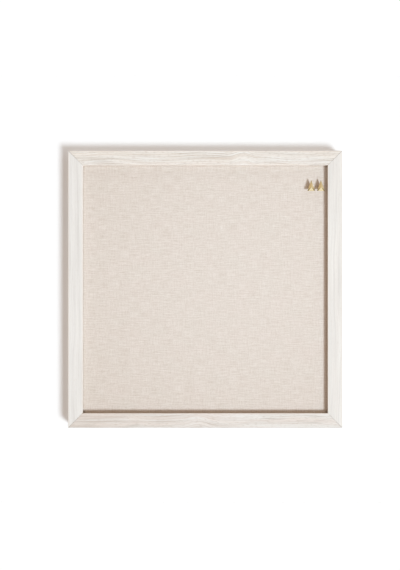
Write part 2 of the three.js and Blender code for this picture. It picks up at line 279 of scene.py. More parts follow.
def outward_normals(outline):
    """Unit normals of a closed flat outline, square to the line between each point's neighbours."""
    along = unit(np.roll(outline, -1, axis=0) - np.roll(outline, 1, axis=0))
    area = np.sum(outline[:, 0] * np.roll(outline[:, 1], -1) - np.roll(outline[:, 0], -1) * outline[:, 1])
    return math.copysign(1, area) * stacked(along[:, 1], -along[:, 0])


def turned(profile, centre, segments):
    """A profile of (radius, level) turned round an axis along Y: each level is a circle of its radius."""
    angle = np.linspace(0, FULL_TURN, segments, endpoint=False)
    radius, level = profile.T[..., None]
    return stacked(centre[0] + radius * np.cos(angle), level, centre[2] + radius * np.sin(angle))


def smooth_step(values, low, high):
    """0 below low, 1 above high, and a smooth S between them."""
    share = np.clip((values - low) / (high - low), 0, 1)
    return share * share * (3 - 2 * share)


def add_piece(name, surface, material, body, replaced, marks=None, crease=32):
    """A piece of the object from points and faces: doubled points are merged, faces turned outwards, and
    the shading is smooth except where faces meet at more than crease degrees. Marks are values kept per
    point."""
    points, faces = surface
    mesh = bpy.data.meshes.new(name)
    mesh.from_pydata(points.tolist(), [], faces)
    for mark, values in (marks or {}).items():
        layer = mesh.attributes.new(mark, "FLOAT" if values.ndim == 1 else "FLOAT_VECTOR", "POINT")
        layer.data.foreach_set("value" if values.ndim == 1 else "vector", values.astype(np.float32).ravel())
    shell = bmesh.new()
    shell.from_mesh(mesh)
    bmesh.ops.remove_doubles(shell, verts=shell.verts, dist=MERGE_DISTANCE)
    bmesh.ops.recalc_face_normals(shell, faces=shell.faces)
    shell.to_mesh(mesh)
    shell.free()
    mesh.polygons.foreach_set("use_smooth", np.ones(len(mesh.polygons), dtype=bool))
    mesh.set_sharp_from_angle(angle=math.radians(crease))
    mesh.materials.append(material)
    piece = bpy.data.objects.new(name, mesh)
    bpy.context.scene.collection.objects.link(piece)
    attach(piece, body)
    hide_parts(*replaced)
    return piece


# Materials


def srgb(hex_value):
    """The linear colour of an sRGB hex value."""
    value = np.array([int(hex_value[place:place + 2], 16) for place in (0, 2, 4)]) / 255
    linear = np.where(value <= 0.04045, value / 12.92, ((value + 0.055) / 1.055) ** 2.4)
    return (*linear.tolist(), 1.0)


def set_inputs(made, inputs):
    """Links each input of a shader node, by name or number, that is given a socket. Any other is set to its
    value, which is an sRGB colour if it is a hex string."""
    for key, value in inputs.items():
        if isinstance(value, bpy.types.NodeSocket):
            made.id_data.links.new(value, made.inputs[key])
        else:
            made.inputs[key].default_value = srgb(value) if isinstance(value, str) else value


def node(tree, kind, inputs=None, **settings):
    """Adds a shader node with its settings and inputs, and gives its outputs."""
    made = tree.nodes.new("ShaderNode" + kind)
    for setting, value in settings.items():
        setattr(made, setting, value)
    set_inputs(made, inputs or {})
    return made.outputs


def new_material(name, constants):
    """A material, node() for its own tree, and its shader, whose named inputs are set to constants."""
    material = bpy.data.materials.new(name)
    material.use_nodes = True
    shader = material.node_tree.nodes["Principled BSDF"]
    set_inputs(shader, constants)
    return material, partial(node, material.node_tree), shader


def per_metre(*sizes):
    """Noise frequencies whose features have these sizes in millimetres."""
    return tuple(1 / (size * MM) for size in sizes)


def wave_scale(period):
    """The wave texture's scale for one band every period millimetres."""
    return FULL_TURN / (20 * period * MM)


def whitewashed_oak(
    name, upright, middle, pale, dark, cream, paleness, line, seed, swirl, contrast, painted_light_drift, lip, lip_share
):
    """Flat-sawn oak, sanded, limed with a thin white wash and left matt: growth rings and vessels show
    through the wash as soft taupe streaks along each rail, which wander a little and part round a swirl.
    The wash is thicker and creamier on the front edges, which also serves as a painted highlight along them,
    grey in the mitres and along the outer edge of some rails, and stops in smears on the raw back. The lip
    facing the opening carries painted light where it faces the key light and painted shade where it lies in
    the key light's shade, and the tone drifts along some rails as painted light, brighter towards the right.
    Oak's vessels and pores are 0.3 mm wide, too fine to show from a step away, so they are drawn 1.4 mm and
    1.3 mm wide."""
    material, add, shader = new_material(name, {"Roughness": 0.62})
    place = add("TexCoord")["Object"]
    turn = QUARTER_TURN if upright else 0
    along = add("Mapping", {"Vector": place, "Rotation": (0, turn, 0), "Location": middle})["Vector"]
    parts = add("SeparateXYZ", {"Vector": along})

    # The grain rises round a pale swirl, as beside a small branch, and wanders slowly along the rail
    swirl_place, swirl_width, swirl_rise = (value * MM for value in swirl)
    beside = add("Math", {0: parts["X"], 1: swirl_place}, operation="SUBTRACT")[0]
    beside = add("Math", {0: beside}, operation="ABSOLUTE")[0]
    fading = {"Value": beside, "From Max": swirl_width, "To Min": 1.0, "To Max": 0.0}
    swirling = add("MapRange", fading, interpolation_type="SMOOTHERSTEP")["Result"]
    rise = add("Math", {0: swirling, 1: swirl_rise}, operation="MULTIPLY")[0]
    start = seed * SEED_STEPS[0]
    stretch = add("Math", {0: parts["X"], 1: 1 / WANDER_LENGTH, 2: start}, operation="MULTIPLY_ADD")[0]
    wander = add("TexNoise", {"W": stretch, "Scale": 1.0, "Detail": 1.0}, noise_dimensions="1D")["Fac"]
    rise = add("Math", {0: wander, 1: WANDER_RISE, 2: rise}, operation="MULTIPLY_ADD")[0]
    level = add("Math", {0: parts["Z"], 1: rise}, operation="ADD")[0]
    grain = add("CombineXYZ", {"X": parts["X"], "Y": parts["Y"], "Z": level})["Vector"]
    seeded = (seed * SEED_STEPS[1], 0, seed * SEED_STEPS[2])

    def streaks(length, width, detail):
        """Noise drawn out along the grain, with features this long and wide in millimetres."""
        scale = per_metre(length, width, width)
        stretched = add("Mapping", {"Vector": grain, "Scale": scale, "Location": seeded})["Vector"]
        return add("TexNoise", {"Vector": stretched, "Scale": 1.0, "Detail": detail})["Fac"]

    # Growth rings, from wide to fine
    rings = {"X": streaks(200, 7, 1.0), "Y": streaks(150, 2.0, 1.0), "Z": streaks(60, 1.3, 1.0)}
    rings = add("CombineXYZ", rings)["Vector"]
    rings = add("VectorMath", {0: rings, 1: contrast}, operation="DOT_PRODUCT")["Value"]
    base = paleness - NOISE_MEAN * sum(contrast)
    # Painted light: the tone drifts along the rail, brighter towards the key light on the right
    base = add("Math", {0: parts["X"], 1: painted_light_drift, 2: base}, operation="MULTIPLY_ADD")[0]
    base = add("Math", {0: swirling, 1: SWIRL_PALENESS, 2: base}, operation="MULTIPLY_ADD")[0]
    tone = add("Math", {0: rings, 1: base}, operation="ADD", use_clamp=True)[0]
    washed = add("MixRGB", {0: tone, 1: dark, 2: pale})[0]

    tint = {"Value": streaks(90, 8, 2.0), "From Min": 0.4, "From Max": 0.62}
    tint = add("MapRange", tint)["Result"]
    patches = streaks(60, 12, 2.0)
    crowded = add("MapRange", {"Value": patches, "From Min": 0.38, "From Max": 0.6})["Result"]
    crowded = add("Math", {0: crowded, 1: swirling}, operation="SUBTRACT", use_clamp=True)[0]
    vessel = streaks(60, 1.4, 1.0)
    vessel = add("MapRange", {"Value": vessel, "From Min": 0.55, "From Max": 0.7, "To Max": line})["Result"]
    pores = streaks(7, 1.3, 1.0)
    pores = add("MapRange", {"Value": pores, "From Min": 0.52, "From Max": 0.7, "To Max": 0.45})["Result"]
    marks = add("Attribute", attribute_name="marks")["Vector"]
    marks = add("SeparateXYZ", {"Vector": marks})
    inside = add("Attribute", attribute_name="inside")["Fac"]

    # Raw oak, which shows where the wash stops with a ragged edge
    raw = add("MixRGB", {0: tone, 1: "B08858", 2: "D6B488"})[0]
    raw = add("MixRGB", {0: pores, 1: raw, 2: "7C5630"})[0]
    ragged = add("Math", {0: patches, 1: RAGGEDNESS, 2: marks["Z"]}, operation="MULTIPLY_ADD")[0]
    ragged = add("MapRange", {"Value": ragged, "From Min": 0.85, "From Max": 1.05})["Result"]

    # Over the rings: a cream tint, crowded vessels, short flecks, creamy front edges that are also a painted
    # highlight, the lip's painted light and shade, the raw back, and grey glue with the darker outer edge,
    # each by its mark and its share
    layers = (
        (tint, TINT_SHARE, cream),
        (vessel, crowded, "AC9F91"),
        (pores, FLECK_SHARE * line, "C6B9AB"),
        (marks["X"], EDGE_CREAM_AND_HIGHLIGHT, "FAF2E8"),
        (inside, lip_share, lip),
        (ragged, 1.0, raw),
        (marks["Y"], GLUE_SHARE, "857A6E"),
    )
    for mark, share, colour in layers:
        share = add("Math", {0: mark, 1: share}, operation="MULTIPLY")[0]
        washed = add("MixRGB", {0: share, 1: washed, 2: colour})[0]
    relief = add("Math", {0: streaks(14, 0.6, 2.0), 1: pores}, operation="SUBTRACT")[0]
    bump = add("Bump", {"Height": relief, "Strength": 0.35, "Distance": 0.12 * MM})["Normal"]
    set_inputs(shader, {"Base Color": washed, "Normal": bump})
    return material


def oatmeal_linen():
    """Plain-woven flax in its natural oatmeal and cream, unbleached and stretched: uneven yarns show as
    thick and thin streaks across, fainter ones upright, on a matt surface with a soft bloom. Its threads
    are 0.8 mm apart, too fine to show from a step away, so they are drawn 1.1 mm apart."""
    constants = {"Roughness": 0.9, "Sheen Weight": 0.08, "Sheen Roughness": 0.5, "Specular IOR Level": 0.2}
    material, add, shader = new_material("oatmeal_linen", constants)
    flat = add("Attribute", attribute_name="flat")["Vector"]
    parts = add("SeparateXYZ", {"Vector": flat})

    def yarns(across, upright):
        """Noise with features this wide and this tall in millimetres on the flat cloth."""
        scale = per_metre(across, upright, 1000)
        stretched = add("Mapping", {"Vector": flat, "Scale": scale})["Vector"]
        return add("TexNoise", {"Vector": stretched, "Scale": 1.0, "Detail": 2.0})["Fac"]

    thick_weft = yarns(18, 1.6)
    mixed = add("CombineXYZ", {"X": thick_weft, "Y": yarns(1.6, 16), "Z": yarns(2.6, 1.9)})["Vector"]
    mixed = add("VectorMath", {0: mixed, 1: YARN_CONTRAST}, operation="DOT_PRODUCT")["Value"]

    # Painted light and shade: the cloth is painted a little darker towards its lower left and towards its
    # edges, standing for how the light falls across it
    slope = add("VectorMath", {0: flat, 1: CLOTH_LIGHT_SLOPE}, operation="DOT_PRODUCT")["Value"]
    base = CLOTH_TONE - NOISE_MEAN * sum(YARN_CONTRAST)
    slope = add("Math", {0: slope, 1: base}, operation="ADD")[0]
    squares = add("VectorMath", {0: flat, 1: flat}, operation="MULTIPLY")["Vector"]
    bow = add("VectorMath", {0: squares, 1: CLOTH_LIGHT_BOW}, operation="DOT_PRODUCT")["Value"]
    slope = add("Math", {0: slope, 1: bow}, operation="ADD")[0]
    tone = add("Math", {0: mixed, 1: slope}, operation="ADD", use_clamp=True)[0]
    cool = add("MixRGB", {0: tone, 1: "D5CABE", 2: "F8F3EC"})[0]
    rosy = add("MixRGB", {0: tone, 1: "D8CABF", 2: "FAF1EB"})[0]
    cloth = add("MixRGB", {0: yarns(45, 30), 1: cool, 2: rosy})[0]

    threads = {"Vector": flat, "Scale": wave_scale(1.1), "Distortion": 1.2, "Detail Scale": 0.6}
    warp, weft = (add("TexWave", threads, bands_direction=way)["Fac"] for way in "XY")
    weave = add("Math", {0: warp, 1: weft}, operation="MULTIPLY")[0]
    gaps = add("MapRange", {"Value": weave, "From Min": 0.25, "From Max": 0.0, "To Max": 0.12})["Result"]
    cloth = add("MixRGB", {0: gaps, 1: cloth, 2: "A8957F"})[0]

    # Painted shade greys the cloth along the frame, each share fading with the distance from one side of the
    # opening or from a corner
    painted_shades = []
    for way, end, share, width in CLOTH_EDGE_SHADE:
        inner = end - math.copysign(width, end)
        fading = {"Value": parts[way], "From Min": end, "From Max": inner, "To Min": share, "To Max": 0.0}
        painted_shades.append(add("MapRange", fading, interpolation_type="SMOOTHSTEP")["Result"])
    for corner in SHADED_CORNERS:
        away = add("VectorMath", {0: flat, 1: corner}, operation="DISTANCE")["Value"]
        fading = {"Value": away, "From Max": CORNER_SHADE_REACH, "To Min": CORNER_SHADE, "To Max": 0.0}
        painted_shades.append(add("MapRange", fading)["Result"])
    for share in painted_shades:
        # Each share mixes in the dark brown of the painted shade
        cloth = add("MixRGB", {0: share, 1: cloth, 2: "4A3E33"})[0]

    relief = add("Math", {0: thick_weft, 1: 1.5, 2: weave}, operation="MULTIPLY_ADD")[0]
    bump = add("Bump", {"Height": relief, "Strength": 0.4, "Distance": 0.2 * MM})["Normal"]
    set_inputs(shader, {"Base Color": cloth, "Normal": bump})
    return material


def pressed_cork():
    """Granulated cork pressed into a sheet: lighter and darker brown grains a few millimetres across."""
    material, add, shader = new_material("pressed_cork", {"Roughness": 0.9})
    place = add("TexCoord")["Object"]
    grains = add("TexVoronoi", {"Vector": place, "Scale": 1 / (3 * MM)})["Color"]
    grain = add("SeparateXYZ", {"Vector": grains})["X"]
    cork = add("MixRGB", {0: grain, 1: "9A6F45", 2: "CDA276"})[0]
    bump = add("Bump", {"Height": grain, "Strength": 0.4, "Distance": 0.3 * MM})["Normal"]
    set_inputs(shader, {"Base Color": cork, "Normal": bump})
    return material


def brown_hardboard():
    """Wet-pressed hardboard with its screen side out: dense brown wood fibre, darker where resin gathers,
    and the fine net of the press screen in its surface. The net is 1.6 mm wide."""
    material, add, shader = new_material("brown_hardboard", {"Roughness": 0.7})
    place = add("TexCoord")["Object"]
    flecks = add("TexNoise", {"Vector": place, "Scale": 1 / (2.5 * MM), "Detail": 4.0})["Fac"]
    clouds = add("TexNoise", {"Vector": place, "Scale": 1 / (70 * MM), "Detail": 3.0})["Fac"]
    tone = add("Math", {0: clouds, 1: 0.4, 2: -0.2}, operation="MULTIPLY_ADD")[0]
    tone = add("Math", {0: flecks, 1: tone}, operation="ADD")[0]
    board = add("MixRGB", {0: tone, 1: "6E4C31", 2: "A07A55"})[0]
    screen = {"Vector": place, "Scale": wave_scale(1.6)}
    across, upright = (add("TexWave", screen, bands_direction=way)["Fac"] for way in "XZ")
    net = add("Math", {0: across, 1: upright}, operation="MAXIMUM")[0]
    relief = add("Math", {0: flecks, 1: 0.8, 2: net}, operation="MULTIPLY_ADD")[0]
    bump = add("Bump", {"Height": relief, "Strength": 0.25, "Distance": 0.15 * MM})["Normal"]
    set_inputs(shader, {"Base Color": board, "Normal": bump})
    return material


def satin_brass():
    """Cast brass, ground to three facets and satin polished: a warm pale gold with faint grinding lines, and
    dark lines along the ridges that are a painted reflection of the dark room mirrored there."""
    material, add, shader = new_material("satin_brass", {"Metallic": 1.0})
    place = add("TexCoord")["Object"]
    lines = add("Mapping", {"Vector": place, "Scale": per_metre(0.25, 4, 4)})["Vector"]
    grind = add("TexNoise", {"Vector": lines, "Scale": 1.0, "Detail": 2.0})["Fac"]
    ridge = add("Attribute", attribute_name="ridge")["Fac"]
    gold = add("MixRGB", {0: grind, 1: "C5A874", 2: "D2B787"})[0]
    # Painted reflection: the ridges are darkened as if they mirrored a dark room
    gold = add("MixRGB", {0: ridge, 1: gold, 2: "6A5428"})[0]
    rough = add("MapRange", {"Value": grind, "To Min": 0.24, "To Max": 0.34})["Result"]
    set_inputs(shader, {"Base Color": gold, "Roughness": rough})
    return material


def zinc_plated_steel():
    """Mild steel with a bright zinc plating: cool light grey, cloudy in small patches, half matt."""
    material, add, shader = new_material("zinc_plated_steel", {"Metallic": 1.0})
    place = add("TexCoord")["Object"]
    clouds = add("TexNoise", {"Vector": place, "Scale": 1 / (3 * MM), "Detail": 3.0})["Fac"]
    zinc = add("MixRGB", {0: clouds, 1: "9FA3A6", 2: "C9CCCD"})[0]
    rough = add("MapRange", {"Value": clouds, "To Min": 0.28, "To Max": 0.48})["Result"]
    set_inputs(shader, {"Base Color": zinc, "Roughness": rough})
    return material


def black_rubber():
    """Moulded rubber: matt, nearly black, greyed by a fine bloom and a pebbled skin."""
    material, add, shader = new_material("black_rubber", {"Roughness": 0.8})
    place = add("TexCoord")["Object"]
    bloom = add("TexNoise", {"Vector": place, "Scale": 1 / (1.5 * MM), "Detail": 3.0})["Fac"]
    rubber = add("MixRGB", {0: bloom, 1: "2C2B2A", 2: "4A4947"})[0]
    bump = add("Bump", {"Height": bloom, "Strength": 0.3, "Distance": 0.1 * MM})["Normal"]
    set_inputs(shader, {"Base Color": rubber, "Normal": bump})
    return material


LINEN = oatmeal_linen()
CORK = pressed_cork()
HARDBOARD = brown_hardboard()
BRASS = satin_brass()
STEEL = zinc_plated_steel()
RUBBER = black_rubber()


# The oak frame

rail_corners = [
    (0, BACK - BACK_RECESS, BACK_ARRIS),
    (LAND_WIDTH, BACK - BACK_RECESS, BACK_ARRIS),
    (LAND_WIDTH, LEDGE, 0),
    (FACE_WIDTH, LEDGE, LIP_ARRIS),
    (FACE_WIDTH, FRONT, FRONT_ARRIS),
    (0, FRONT, FRONT_ARRIS),
]
rail_section = filled_in(rounded_path(rail_corners), SECTION_STEP)


def rail_surface(outward, along, half_across, half_along):
    """A section carried along a mitred rail. A point's place along the rail is the half length, less its
    own distance from the outer edge, less the station's set-back, which cuts the mitre at 45 degrees. The
    end stations use the section drawn in a little, so that two rails meet in a fine V."""
    eased = rail_section - outward_normals(rail_section) * MITRE_EASE
    set_backs = (MITRE_GAP, MITRE_GAP + MITRE_EASE, MITRE_GAP + MITRE_SHADE)
    stations = list(zip(set_backs, (eased, rail_section, rail_section)))
    rings = []
    for end, order in ((-1, stations), (1, stations[::-1])):
        for set_back, section in order:
            place = end * (half_along - section[:, 0] - set_back)
            depth = stacked(0, section[:, 1], 0)
            rings.append(np.outer(half_across - section[:, 0], outward) + np.outer(place, along) + depth)
    return np.stack(rings)


def rail_marks(outer_edge_grey):
    """For each point of a rail: how near it is to a front edge, for the creamy wash and painted
    highlight there, how much glue or outer-edge grey it has, whether it is left raw, and whether it lies on
    the lip inside the opening, which takes painted light and shade. Glue shows in the mitres, less towards
    the opening, and the outer front edge is greyed as much as the rail's share for it."""
    inward, level = rail_section.T
    to_edge = np.hypot(np.minimum(inward, FACE_WIDTH - inward), level - FRONT)
    edge = np.clip((EDGE_REACH - to_edge) / EDGE_FADE, 0, 1)
    on_back = smooth_step(level, BACK - 1.5 * MM, BACK - 0.1 * MM)
    raw = on_back * smooth_step(inward, 0.5 * MM, 3.5 * MM)
    in_rabbet = (inward > LAND_WIDTH - BACK_ARRIS) & (level > LEDGE - LIP_ARRIS)
    raw = np.maximum(raw, in_rabbet)
    mitre = np.outer(GLUE_AT_STATIONS, 1 - GLUE_FALL * inward / FACE_WIDTH)
    outer_grey = outer_edge_grey * np.clip((OUTER_GREY_REACH - np.hypot(inward, level - FRONT)) / OUTER_GREY_FADE, 0, 1)
    glue_and_grey = np.maximum(mitre, outer_grey)
    marks = stacked(edge, glue_and_grey, raw)
    # The lip's inner face, which takes the lip's painted light and painted shade
    on_lip = smooth_step(inward, FACE_WIDTH - 0.3 * MM, FACE_WIDTH)
    inside = on_lip * smooth_step(level, FRONT + 0.3 * MM, FRONT + 0.8 * MM)
    return {"marks": marks.reshape(-1, 3), "inside": np.broadcast_to(inside, mitre.shape).ravel()}


# Each rail: outward and along directions, half sizes across and along, and how much grey darkens its
# outer front edge
RAILS = {
    "top_rail": ((0, 0, 1), (1, 0, 0), HALF_HEIGHT, HALF_WIDTH, 0.0),
    "bottom_rail": ((0, 0, -1), (1, 0, 0), HALF_HEIGHT, HALF_WIDTH, 0.6),
    "left_stile": ((-1, 0, 0), (0, 0, 1), HALF_WIDTH, HALF_HEIGHT, 0.0),
    "right_stile": ((1, 0, 0), (0, 0, 1), HALF_WIDTH, HALF_HEIGHT, 0.15),
}
FACE_MIDDLE_X = HALF_WIDTH - FACE_WIDTH / 2
FACE_MIDDLE_Z = HALF_HEIGHT - FACE_WIDTH / 2

# Each rail's wood: the middle of its face, its colours, its mean tone, its vessel lines' share, its grain's
# seed, its swirl's place, width and rise in mm, the contrast of wide, middling and fine rings, the tone's
# drift per metre, which is painted light, brighter towards the right, and its lip's colour and share,
# which are painted light and shade: a lip that faces the key light is painted paler, a lip in the key
# light's shade is painted brown. The right stile's colours are a little paler than the left stile's,
# partly as painted light from the right.
RAIL_WOOD = dict(upright=False, line=0.6)
STILE_WOOD = dict(upright=True, line=0.12, paleness=0.5, contrast=(0.8, 1.1, 0.5), painted_light_drift=0.0)
PAINTED_SHADE_LIP = dict(lip="BBA993", lip_share=0.8)
WOODS = {
    "top_rail": dict(
        RAIL_WOOD, middle=(0, -FRONT, -FACE_MIDDLE_Z), pale="F6F3ED", dark="D0C4B7", cream="F1E5D8",
        paleness=0.7, seed=23.2, swirl=(62, 26, -5.0), contrast=(0.8, 2.6, 2.2), painted_light_drift=0.35,
        lip="F6EEE4", lip_share=0.5,
    ),
    "bottom_rail": dict(
        RAIL_WOOD | PAINTED_SHADE_LIP, middle=(0, -FRONT, FACE_MIDDLE_Z), pale="F0ECE6", dark="CDC0B4",
        cream="EBDED4", paleness=0.73, seed=35.7, swirl=(-10, 30, -4.0), contrast=(0.8, 2.3, 1.9), painted_light_drift=1.8,
    ),
    "left_stile": dict(
        STILE_WOOD, middle=(0, -FRONT, -FACE_MIDDLE_X), pale="F4F1EC", dark="DCD7D1", cream="F0ECE6",
        seed=3.0, swirl=(-60, 70, 1.5), lip="F3EAE0", lip_share=0.4,
    ),
    "right_stile": dict(
        STILE_WOOD | PAINTED_SHADE_LIP, middle=(0, -FRONT, FACE_MIDDLE_X), pale="F8F5EF", dark="DFDAD4",
        cream="F3EEE7", seed=4.0, swirl=(70, 80, 1.5),
    ),
}

for rail, (*shape, outer_edge_grey) in RAILS.items():
    wood = whitewashed_oak(f"whitewashed_oak_{rail}", **WOODS[rail])
    add_piece(f"{rail}_oak", skin(rail_surface(*shape)), wood, "board", [rail], rail_marks(outer_edge_grey))


# The linen

pin_places = {hand: sum(corners_of(f"pin_needle_{hand}")) / 2 for hand in ("left", "right")}


def wrap_line(half_size, rear):
    """Half of the cloth's path from the panel's middle: along the face, round the edge, down the side,
    round again and in under the back. Columns are the distance from the middle and the depth."""
    end = half_size - CLOTH_FOLD
    corners = [
        (0, LINEN_FACE, 0),
        (half_size, LINEN_FACE, CLOTH_EDGE_RADIUS),
        (half_size, rear, CLOTH_EDGE_RADIUS),
        (end, rear, 0),
    ]
    return rounded_path(corners, closed=False)


def cloth_lines(half_size, line, through):
    """Places of the threads' grid lines along the flat cloth, even over the face with one line through each
    given place, and closer round the edges."""
    flat_half = half_size - 2 * CLOTH_EDGE_RADIUS
    first = through[0] - CLOTH_CELL * math.floor((through[0] + flat_half) / CLOTH_CELL)
    face = np.arange(first, flat_half, CLOTH_CELL)
    reach = lengths_along(line)
    rim = np.concatenate([reach[1:-1], np.linspace(reach[-2], reach[-1], 11)[1:]])
    return np.concatenate([-rim[::-1], face, rim])


def linen_surface():
    """The cloth as a grid of its flat places (u, v). Each is carried along the wrap line: x from u, z from
    v, and the depth is the two lines' drops added together. The face swells by a few slow sine waves. The
    corner squares are cut away, and a small round hole is opened where each pin goes through."""
    line_u = wrap_line(linen_high[0], linen_high[1] - SIDE_FOLD_INSET)
    line_v = wrap_line(linen_high[2], linen_high[1] - END_FOLD_INSET)
    pins = np.array(list(pin_places.values()))
    u = cloth_lines(linen_high[0], line_u, pins[:, 0])
    v = cloth_lines(linen_high[2], line_v, pins[:, 2])
    x, drop_u = at_lengths(line_u, np.abs(u)).T
    z, drop_v = at_lengths(line_v, np.abs(v)).T
    x = np.copysign(x, u)
    z = np.copysign(z, v)
    grid_x, grid_z = np.meshgrid(x, z, indexing="ij")
    drop = (drop_u - LINEN_FACE)[:, None] + (drop_v - LINEN_FACE)[None, :]
    # Wave lengths in metres, each with a phase
    waves = (
        np.sin(grid_x * FULL_TURN / 0.13 + 0.4) * np.sin(grid_z * FULL_TURN / 0.17 + 1.1)
        + 0.6 * np.sin(grid_x * FULL_TURN / 0.071 + grid_z * FULL_TURN / 0.21 + 2.0)
        + 0.4 * np.sin(grid_z * FULL_TURN / 0.053 + 0.7)
    )
    y = LINEN_FACE + drop + np.where(drop == 0, CLOTH_SWELL * (1 + waves / 2), 0)

    beyond_u = np.abs(u) > linen_high[0] - CLOTH_EDGE_RADIUS / 2
    beyond_v = np.abs(v) > linen_high[2] - CLOTH_EDGE_RADIUS / 2
    cut_away = beyond_u[:, None] & beyond_v[None, :]
    for pin in pins:
        i = np.argmin(np.abs(u - pin[0]))
        j = np.argmin(np.abs(v - pin[2]))
        ring = np.s_[i - 1:i + 2, j - 1:j + 2]
        away = np.stack([grid_x[ring] - pin[0], grid_z[ring] - pin[2]])
        length = np.maximum(np.hypot(*away), MERGE_DISTANCE)
        grid_x[ring] = pin[0] + away[0] / length * NEEDLE_HOLE
        grid_z[ring] = pin[2] + away[1] / length * NEEDLE_HOLE
        cut_away[i, j] = True

    rows, columns = grid_x.shape
    faces = grid_faces(rows, columns)
    faces = faces[~cut_away.ravel()[faces].any(axis=1)]
    used, faces = np.unique(faces, return_inverse=True)
    points = stacked(grid_x, y, grid_z).reshape(-1, 3)[used]
    flat = stacked(u[:, None], v, 0).reshape(-1, 3)[used]
    cut = (u[-1] - u[0], v[-1] - v[0])
    return (points, faces.reshape(-1, 4).tolist()), flat, cut


cloth, flat, cut_size = linen_surface()
linen = add_piece("linen_wrap", cloth, LINEN, "board", ["linen_cover"], {"flat": flat}, crease=80)
thickness = linen.modifiers.new("cloth thickness", "SOLIDIFY")
thickness.thickness = CLOTH_THICKNESS
thickness.offset = -1


# The panel's back


def eased_slab(low, high, edge):
    """A flat board along Y with its edges eased: four rectangles, drawn in at both faces."""
    corner_x = np.array([-1, 1, 1, -1])
    corner_z = np.array([-1, -1, 1, 1])
    half = (high - low) / 2
    middle = (high + low) / 2
    rings = []
    for level, draw_in in ((low[1], edge), (low[1] + edge, 0), (high[1] - edge, 0), (high[1], edge)):
        x = middle[0] + corner_x * (half[0] - draw_in)
        z = middle[2] + corner_z * (half[2] - draw_in)
        rings.append(stacked(x, level, z))
    return np.stack(rings)


backing = eased_slab(backing_low, backing_high, BACKING_EDGE)
add_piece("backing_hardboard", skin(backing), HARDBOARD, "board", ["backing_board"])


def swept_plate(path, across, half_widths, thickness):
    """Sheet metal along a path: at each point of the path a flat section with eased edges, as wide as the
    half width there, lies across it. The section's thickness runs square to the path and to across."""
    tangent = unit(np.gradient(path, axis=0))
    normal = np.cross(tangent, across)
    ease = np.minimum(PLATE_EASE, half_widths)[:, None]
    angle = np.radians([0, 30, 60, 90, 90, 120, 150, 180, 180, 210, 240, 270, 270, 300, 330, 360])
    side = np.repeat([1, -1, -1, 1], 4)
    face = np.repeat([1, 1, -1, -1], 4)
    wide = side * (half_widths[:, None] - ease) + ease * np.cos(angle)
    thick = face * (thickness / 2 - PLATE_EASE) + PLATE_EASE * np.sin(angle)
    return path[:, None] + wide[..., None] * np.array(across) + thick[..., None] * normal[:, None]


def round_end(distance, half_width):
    """Half width of a strip whose end is a half circle, at a distance from that end."""
    short = np.clip(half_width - distance, 0, half_width * 0.999)
    return np.sqrt(half_width ** 2 - short ** 2)


def strip_shares(round_share, straight_start, count):
    """Shares of a strip's length, closest together at its round start and even from straight_start on."""
    rounded = round_share * (1 - np.cos(np.linspace(0, QUARTER_TURN, 12)))
    return np.concatenate([rounded, np.linspace(straight_start, 1, count)])


def point_surface(low, high, outward):
    """A retaining point: a steel tongue that lies along outward, tapered to a point in the wood and round
    at its free end, which springs up from the backing board by a quarter wave."""
    outward = np.array(outward)
    across = np.abs(np.cross(outward, (0, 1, 0)))
    middle = (low + high) / 2
    length = np.abs(outward) @ (high - low)
    half_width = across @ (high - low) / 2
    share = strip_shares(0.3, 0.34, 14)
    from_round = share * length
    widths = np.minimum(round_end(from_round, half_width), (length - from_round) / POINT_TAPER * half_width)
    lift = POINT_LIFT * (1 - np.sin(np.clip(share / 0.6, 0, 1) * QUARTER_TURN))
    path = middle + np.outer(from_round - length / 2, outward)
    path[:, 1] += lift
    return swept_plate(path, across, np.maximum(widths, LEAST_WIDTH), high[1] - low[1])


SIDES = {"top": (0, 0, 1), "left": (-1, 0, 0), "bottom": (0, 0, -1), "right": (1, 0, 0)}
for side, outward in SIDES.items():
    for count in (1, 2, 3):
        solid = f"retaining_point_{side}_{count}"
        rings = point_surface(*corners_of(solid), outward)
        add_piece(f"{solid}_steel", skin(rings), STEEL, "board", [solid])


# The hangers


def strap_surface(pivot, half_width):
    """A strap flat on the stile and rolled into an eye round the ring's bar. Its middle line runs straight
    to below the bar and then turns round it, and its lower end is a half circle."""
    middle_radius = EYE_RADIUS + STRAP_THICKNESS / 2
    flat = -STRAP_LENGTH + STRAP_LENGTH * strip_shares(0.15, 0.2, 10)
    angle = np.radians(np.linspace(-90, EYE_END, 40))[1:]
    up = np.concatenate([flat, middle_radius * np.cos(angle)])
    out = np.concatenate([0 * flat - middle_radius, middle_radius * np.sin(angle)])
    path = np.array(pivot) + stacked(0, out, up)
    widths = round_end(lengths_along(path), half_width)
    return swept_plate(path, (1, 0, 0), np.maximum(widths, LEAST_WIDTH), STRAP_THICKNESS)


def ring_surface(pivot):
    """Wire bent to a D: its middle line is a bar, two tight corners, two sides and a half circle, and every
    point of it carries a circle of the wire's radius."""
    half = RING_HALF_WIDTH
    bow_start = half - RING_REACH
    bow = np.linspace(0, -HALF_TURN, 49)
    bow = stacked(half * np.cos(bow), bow_start + half * np.sin(bow))
    corners = [(-half, bow_start, 0), (-half, 0, RING_CORNER), (half, 0, RING_CORNER), (half, bow_start, 0)]
    line = np.concatenate([rounded_path(corners, closed=False), bow[1:]])
    path = at_lengths(line, np.linspace(0, lengths_along(line)[-1], 144, endpoint=False))
    normal = outward_normals(path)
    angle = np.linspace(0, FULL_TURN, 18, endpoint=False)
    in_plane = path[:, None] + RING_WIRE * np.cos(angle)[:, None] * normal[:, None]
    depth = RING_WIRE * np.sin(angle)
    return np.array(pivot) + stacked(in_plane[..., 0], depth, in_plane[..., 1])


